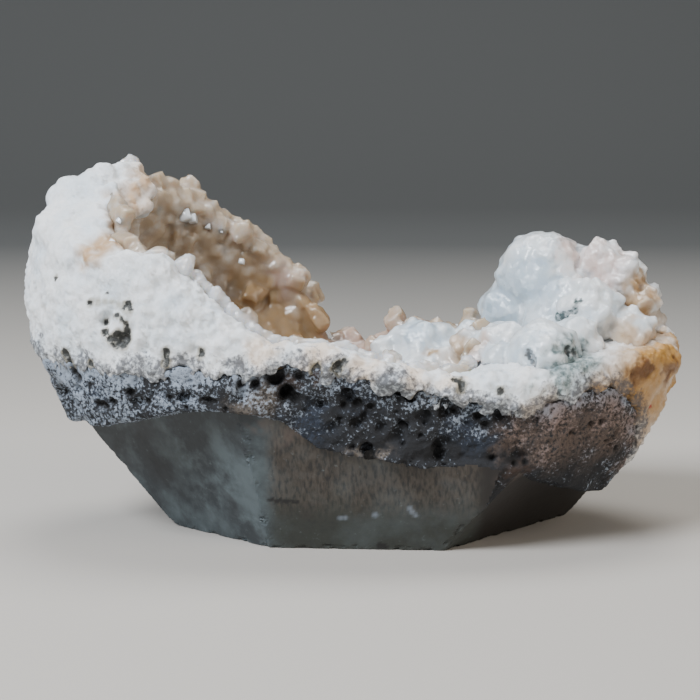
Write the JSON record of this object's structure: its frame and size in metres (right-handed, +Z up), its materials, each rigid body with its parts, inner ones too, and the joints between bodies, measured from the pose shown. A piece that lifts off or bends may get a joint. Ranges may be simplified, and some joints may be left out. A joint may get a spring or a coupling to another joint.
{
  "type": "apophyllite mineral cluster",
  "caption": "Boat-shaped half geode: crystal-lined hollow and white rounded crystal clusters in a pale rind on a dark basalt matrix sawn flat below.",
  "frame": {"origin": "centre of the bounding box in plan, on the plane of the sawn base", "axes": "+Z up, +X along the specimen's length towards its lower right end, -Y towards the viewer of its front"},
  "size_m": [0.15, 0.0798, 0.0849],
  "materials": {
    "basalt": "dull, sawn faces smooth, broken faces rough with small holes",
    "chalcedony": "matt to waxy, milky, iron-stained ochre at the right end",
    "tan_crystal": "glassy, part see-through",
    "white_crystal": "glassy to waxy, milky"
  },
  "bodies": {
    "root": {"basalt_matrix": "basalt", "chalcedony_rind": "chalcedony", "crystal_lining": "tan_crystal", "crystal_domes": "white_crystal"}
  },
  "joints": []
}
